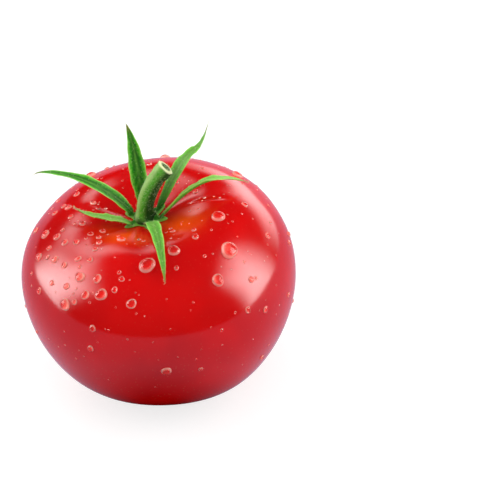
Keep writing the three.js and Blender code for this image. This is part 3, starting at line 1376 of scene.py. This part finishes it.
@dataclass
class WaterDrops:
    """Drops of water that stand on the skin, some listed one by one and many fine ones scattered.

    Sizes are millimetres. A grid is rings from the rim up, and points round a ring.
    """

    form: FruitForm
    sunk: float = 0.05  # how far a drop's rim lies under the skin
    steepness: float = 0.31  # a drop's height over its width
    fine_count: int = 340
    seed: int = 7
    fine_width: tuple[float, float] = (0.5, 1.5)  # the least, and how much more the widest has
    fine_sines: tuple[float, float] = (0.97, 1.25)  # of the highest latitude, and how far down they go
    crowding: float = 0.6  # how near two may come, as a share of both widths
    calyx_radius: float = 11.0  # fine drops keep this far from the stem
    waver: tuple[float, float] = (0.06, 0.04)  # how far an outline strays twice and three times round
    painted_rim_light_from: tuple[float, float] = (0.55, 0.95)  # where the painted light of the rim begins and is full, as shares of the radius
    large_grid: tuple[int, int] = (10, 32)
    fine_grid: tuple[int, int] = (3, 12)
    large_turn: float = 1.3  # radians between one drop's outline and the next one's
    fine_turn: float = 0.9
    large: tuple[Drop, ...] = (
        Drop(266, 54, 4.4),
        Drop(320, 48, 4.9),
        Drop(340, 62, 3.7),
        Drop(286, 60, 3.3),
        Drop(304, 39, 3.3),
        Drop(244, 36, 3.3),
        Drop(228, 40, 3.0),
        Drop(228, 23, 3.3),
        Drop(238, 43, 2.5),
        Drop(236, 33, 2.5),
        Drop(260, 34, 2.7),
        Drop(231, 68, 2.5),
        Drop(184, 37, 2.7),
        Drop(192, 44, 2.2),
        Drop(166, 48, 2.2),
        Drop(189, 58, 1.9),
        Drop(152, 47, 1.9),
        Drop(214, 40, 1.9),
        Drop(210, 18, 1.9),
        Drop(308, 63, 1.9),
        Drop(196, 30, 2.4),
        Drop(174, 27, 2.0),
        Drop(205, 52, 1.8),
        Drop(222, 56, 1.7),
        Drop(160, 60, 1.8),
        Drop(180, 66, 1.6),
        Drop(252, 46, 1.6),
        Drop(200, 47, 2.0),
        Drop(206, 38, 2.2),
        Drop(218, 47, 2.0),
        Drop(226, 50, 1.8),
        Drop(178, 52, 1.7),
        Drop(168, 40, 1.8),
        Drop(196, 38, 1.6),
        Drop(224, 32, 2.0),
        Drop(232, 27, 1.8),
        Drop(215, 28, 1.7),
        Drop(250, 40, 1.7),
        Drop(203, 60, 1.6),
        Drop(3, 51, 1.9),
        Drop(348, 36, 1.9),
        Drop(320, 30, 1.9),
        Drop(312, 18, 1.9),
        Drop(244, 5, 1.9),
        Drop(275, -3, 2.7),
        Drop(40, 42, 3.4),
        Drop(62, 20, 2.6),
        Drop(88, 35, 3.0),
        Drop(118, 12, 2.4),
        Drop(131, 38, 3.6),
        Drop(22, 8, 2.8),
    )

    def drop_shell(self, drop: Drop, rings: int, sides: int, phase: float) -> Shell:
        """Builds one drop as a low dome that follows the skin under it.

        Its grid is laid out in latitude and bearing, from steps east and north in millimetres divided by
        the skin's own slopes. At a share s of the radius it stands at height · sqrt(1 - s²) over the
        skin, and its rim lies just under it. The outline wavers by a few percent.

        Args:
            drop: Its place and width.
            rings: Rings from the middle out.
            sides: Points round a ring.
            phase: Turns the outline's waver.

        Returns:
            The closed drop, with a layer that says how near its rim a point is.
        """
        latitude, bearing = math.radians(drop.latitude), math.radians(drop.bearing)
        spots = np.array([(NEAR, 0), (-NEAR, 0), (0, NEAR), (0, -NEAR)]) + (latitude, bearing)
        north, south, east, west = self.form.surface(spots[:, 0], spots[:, 1])
        rise, turn = np.linalg.norm(north - south) / (2 * NEAR), np.linalg.norm(east - west) / (2 * NEAR)
        angle = ring_angles(sides)
        polar = np.linspace(0, math.pi / 2, rings + 1)[:-1, None]
        share = np.concatenate([[[0.5]], np.cos(polar)])  # a ring of the underside, then the dome's
        high = np.concatenate([[[0.0]], np.sin(polar)])
        double, triple = self.waver
        waver = 1 + double * np.sin(2 * angle + phase) + triple * np.sin(3 * angle + 2.3 * phase)
        reach = drop.width / 2 * share * waver
        lift = self.steepness * drop.width * high - self.sunk
        places = latitude + reach * np.sin(angle) / rise, bearing + reach * np.cos(angle) / turn
        points = self.form.surface(*places) + lift[..., None] * self.form.normals(*places)
        middle = np.array(latitude), np.array(bearing)
        spot, normal = self.form.surface(*middle), self.form.normals(*middle)
        top = self.steepness * drop.width - self.sunk
        ends = np.stack([spot - self.sunk * normal, spot + top * normal])
        rim = smoothstep(*self.painted_rim_light_from, share) + 0 * angle
        rim[0] = 0
        return Shell(points, ends, {"rim": (rim, 0.0, 0.0)})

    def fine_drops(self) -> list[Drop]:
        """Scatters fine drops over the skin, more of them near the top and fewer below the widest ring.

        The sine of the latitude is the highest less a squared random number, so that they crowd near the
        top, and widths follow the fourth power of a random number, so that most are small.

        Returns:
            The drops that keep clear of the large ones, of each other and of the calyx.
        """
        random = np.random.default_rng(self.seed)
        kept: list[Drop] = []
        places: list[Points] = []
        for drop in self.large:
            places.append(self.form.surface(*np.radians([drop.latitude, drop.bearing])))
        widths = [drop.width for drop in self.large]
        highest, down = self.fine_sines
        least, more = self.fine_width
        for sine, bearing, size in random.random((self.fine_count, 3)):
            latitude = math.degrees(math.asin(highest - down * sine**2))
            drop = Drop(360 * bearing, latitude, least + more * size**4)
            place = self.form.surface(*np.radians([drop.latitude, drop.bearing]))
            apart = np.linalg.norm(np.array(places) - place, axis=-1)
            clear = self.form.from_stem(place[0], place[1])[0] > self.calyx_radius
            if clear and np.all(apart > self.crowding * (np.array(widths) + drop.width)):
                kept.append(drop)
                places.append(place)
                widths.append(drop.width)
        return kept

    def build(self, water: bpy.types.Material) -> None:
        """Makes the large and the fine drops, each set as one piece.

        Args:
            water: Their material.
        """
        for name, drops, grid, turn in (
            ("water_drops_large", self.large, self.large_grid, self.large_turn),
            ("water_drops_fine", self.fine_drops(), self.fine_grid, self.fine_turn),
        ):
            shells = [self.drop_shell(drop, *grid, turn * i) for i, drop in enumerate(drops)]
            build_piece(name, shells).data.materials.append(water)


# ---- Studio ----


@dataclass(frozen=True)
class SoftBox:
    """A soft studio light that faces the tomato. Bearing, height angle and spans are degrees.

    Its shine is what mirrors in the wax, as a radiance, and its wash times that is what lights by
    diffusion. They are two lamps in one place, so the two can be set apart.
    """

    name: str
    bearing: float
    elevation: float
    width: float
    height: float
    shine: float
    wash: float


@dataclass
class Studio:
    """A backlit white floor, soft boxes all round, a light tent over them, and the camera.

    The floor is two sheets. The camera sees the upper one, which lights nothing. The lower one, just
    under it, is unseen by the camera, and gives the floor's light on the tomato and its mirror image in
    the skin. A dark spot in its light, in front of the tomato, is a painted shadow of the tomato on the
    floor. Distances are metres.
    """

    distance: float = 1.2  # of the soft boxes
    tent: float = 0.86  # radiance of the light tent that evens out the rest
    backlight: float = 0.7  # radiance of the floor's own light
    floor_colour: str = "#a8a8a8"
    mirrored: float = 0.66  # radiance of the lower sheet's far part, which mirrors in the skin
    mirrored_colour: str = "#e6dcf8"
    mirrored_from: tuple[float, float] = (0.004, 0.042)  # how far from the painted shadow's middle the sheet's light begins and is full
    painted_shadow_middle: tuple[float, float, float] = (0.0, -0.03, 0.0)  # the middle of the painted shadow, a dark spot in the lower sheet's light
    floor_half: float = 4.0  # half the floor's side
    glow_depth: float = 0.001  # how far the lower sheet lies under the upper one
    aim: tuple[float, float, float] = (0.0, 0.0, 0.04)  # where the soft boxes point
    box_fade: tuple[float, float] = (0.5, 0.05)  # where a box is dark and full, as shares of its side
    lens_mm: float = 129.6
    sensor_mm: float = 36
    camera_place: tuple[float, float, float] = (0.02525, -0.3791, 0.35658)
    camera_tilt: float = 50.0  # up from straight down, in degrees
    clip: tuple[float, float] = (0.01, 50)
    boxes: tuple[SoftBox, ...] = (
        SoftBox("softbox_left", 171, 20, 52, 72, 11.9, 0.69),
        SoftBox("softbox_behind", 126, 36, 46, 32, 4.0, 2.0),
        SoftBox("softbox_right", 1, 21, 53, 86, 11.5, 0.51),
        SoftBox("backdrop", 62, 6, 74, 34, 4.3, 1.4),
    )

    def add_camera(self) -> None:
        """Sets the camera in front, 40 degrees above the floor, with a long lens."""
        lens = bpy.data.cameras.new("camera")
        lens.lens = self.lens_mm
        lens.sensor_width = self.sensor_mm
        lens.clip_start, lens.clip_end = self.clip
        camera = bpy.data.objects.new("camera", lens)
        camera.location = self.camera_place
        camera.rotation_euler = (math.radians(self.camera_tilt), 0, 0)
        bpy.context.scene.collection.objects.link(camera)
        bpy.context.scene.camera = camera

    def add_box(self, box: SoftBox) -> None:
        """Adds one soft box, as a lamp that gives its shine and one that lights by diffusion.

        Its sides are 2 · distance · tan(span / 2), and its power is radiance · π · area.

        Args:
            box: Its place, size and brightness.
        """
        bearing, rise = math.radians(box.bearing), math.radians(box.elevation)
        out = Vector((math.cos(bearing) * math.cos(rise), math.sin(bearing) * math.cos(rise), math.sin(rise)))
        for use, radiance in (("shine", box.shine), ("wash", box.wash * box.shine)):
            light = bpy.data.lights.new(f"{box.name}_{use}", "AREA")
            light.shape = "RECTANGLE"
            light.size = 2 * self.distance * math.tan(math.radians(box.width) / 2)
            light.size_y = 2 * self.distance * math.tan(math.radians(box.height) / 2)
            light.energy = radiance * math.pi * light.size * light.size_y
            self.soften(light)
            lamp = bpy.data.objects.new(light.name, light)
            lamp.location = Vector(self.aim) + out * self.distance
            lamp.rotation_euler = out.to_track_quat("Z", "Y").to_euler()
            lamp.visible_diffuse = use == "wash"
            lamp.visible_glossy = use == "shine"
            bpy.context.scene.collection.objects.link(lamp)

    def soften(self, light: bpy.types.Light) -> None:
        """Dims a soft box towards its edges: by max(|u|, |v|), where u and v go from -1/2 to 1/2 across it.

        Args:
            light: The box's lamp.
        """
        light.use_nodes = True
        tree = light.node_tree
        tree.nodes.clear()
        place = add_node(tree, "ShaderNodeNewGeometry").outputs["Parametric"]
        inputs = {0: place, 1: (0.5, 0.5, 0.0)}
        off = add_node(tree, "ShaderNodeVectorMath", inputs, operation="SUBTRACT").outputs[0]
        off = add_node(tree, "ShaderNodeVectorMath", {0: off}, operation="ABSOLUTE").outputs[0]
        sides = add_node(tree, "ShaderNodeSeparateXYZ", {0: off}).outputs
        off = add_node(tree, "ShaderNodeMath", {0: sides[0], 1: sides[1]}, operation="MAXIMUM").outputs[0]
        inputs = {"Value": off, "From Min": self.box_fade[0], "From Max": self.box_fade[1]}
        ramp = add_node(tree, "ShaderNodeMapRange", inputs, interpolation_type="SMOOTHSTEP")
        share = ramp.outputs["Result"]
        glow = add_node(tree, "ShaderNodeEmission", {"Strength": share})
        add_node(tree, "ShaderNodeOutputLight", {"Surface": glow.outputs[0]})

    def add_floor(self) -> None:
        """Lays the floor's two sheets: the matt white one that is seen, and the one that gives its light.

        The lower sheet's light has a painted shadow: it is dark in one spot by the tomato and rises by a
        smoothstep with the distance from it.
        """
        material, tree = new_tree("matt_white_acrylic_sheet")
        inputs = {
            "Base Color": linear(self.floor_colour),
            "Roughness": 0.9,
            "Specular IOR Level": 0.0,
            "Emission Color": linear("#ffffff"),
            "Emission Strength": self.backlight,
        }
        shader = add_node(tree, "ShaderNodeBsdfPrincipled", inputs)
        add_node(tree, "ShaderNodeOutputMaterial", {"Surface": shader.outputs[0]})
        floor = self.add_sheet("floor", 0.0, material)
        for ray in ("diffuse", "glossy", "shadow"):
            setattr(floor, f"visible_{ray}", False)

        material, tree = new_tree("light_of_the_sheet")
        place = add_node(tree, "ShaderNodeTexCoord").outputs["Object"]
        # A painted shadow: the sheet's light is dark round a spot in front of the tomato.
        inputs = {0: place, 1: self.painted_shadow_middle}
        out = add_node(tree, "ShaderNodeVectorMath", inputs, operation="DISTANCE").outputs["Value"]
        inputs = {"Value": out, "From Min": self.mirrored_from[0], "From Max": self.mirrored_from[1]}
        inputs["To Max"] = self.mirrored
        ramp = add_node(tree, "ShaderNodeMapRange", inputs, interpolation_type="SMOOTHSTEP")
        share = ramp.outputs["Result"]
        inputs = {"Color": linear(self.mirrored_colour), "Strength": share}
        shader = add_node(tree, "ShaderNodeEmission", inputs)
        add_node(tree, "ShaderNodeOutputMaterial", {"Surface": shader.outputs[0]})
        glow = self.add_sheet("floor_glow", -self.glow_depth, material)
        for ray in ("camera", "transmission", "shadow", "volume_scatter"):
            setattr(glow, f"visible_{ray}", False)

    def add_sheet(self, name: str, height: float, material: bpy.types.Material) -> bpy.types.Object:
        """Stages a level square sheet.

        Args:
            name: Its name.
            height: Where it lies, in metres.
            material: What it is made of.

        Returns:
            The sheet.
        """
        half = self.floor_half
        corners = [(-half, -half, height), (half, -half, height), (half, half, height), (-half, half, height)]
        mesh = bpy.data.meshes.new(name)
        mesh.from_pydata(corners, [], [(0, 1, 2, 3)])
        mesh.materials.append(material)
        sheet = bpy.data.objects.new(name, mesh)
        bpy.context.scene.collection.objects.link(sheet)
        return sheet

    def add_world(self) -> None:
        """Puts the tomato in a light tent: even light all round that doesn't mirror in the skin."""
        world = bpy.data.worlds.new("light_tent")
        bpy.context.scene.world = world
        world.use_nodes = True
        world.node_tree.nodes.clear()
        inputs = {"Color": linear("#ffffff"), "Strength": self.tent}
        sky = add_node(world.node_tree, "ShaderNodeBackground", inputs)
        add_node(world.node_tree, "ShaderNodeOutputWorld", {"Surface": sky.outputs[0]})
        world.cycles_visibility.glossy = False

    def build(self) -> None:
        """Sets up the camera first, and then the light and the floor."""
        self.add_camera()
        self.add_world()
        for box in self.boxes:
            self.add_box(box)
        self.add_floor()
        bpy.context.scene.view_settings.view_transform = "Standard"


def main() -> None:
    """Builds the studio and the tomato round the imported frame."""
    logging.basicConfig(level=logging.INFO, format="%(message)s")
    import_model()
    Studio().build()
    form = FruitForm()
    Fruit(form).build(TomatoSkin().material())
    stem, blades = Stem(form), SepalBlades(form)
    stem.build(STALK_TISSUE.material())
    leaf = SEPAL_TISSUE.material()
    blades.build(leaf)
    Collar(form).build(leaf)
    Down().build([stem.shell(), *blades.shells()], PLANT_DOWN.material())
    WaterDrops(form).build(ClearWater().material())


if __name__ == "__main__":
    main()
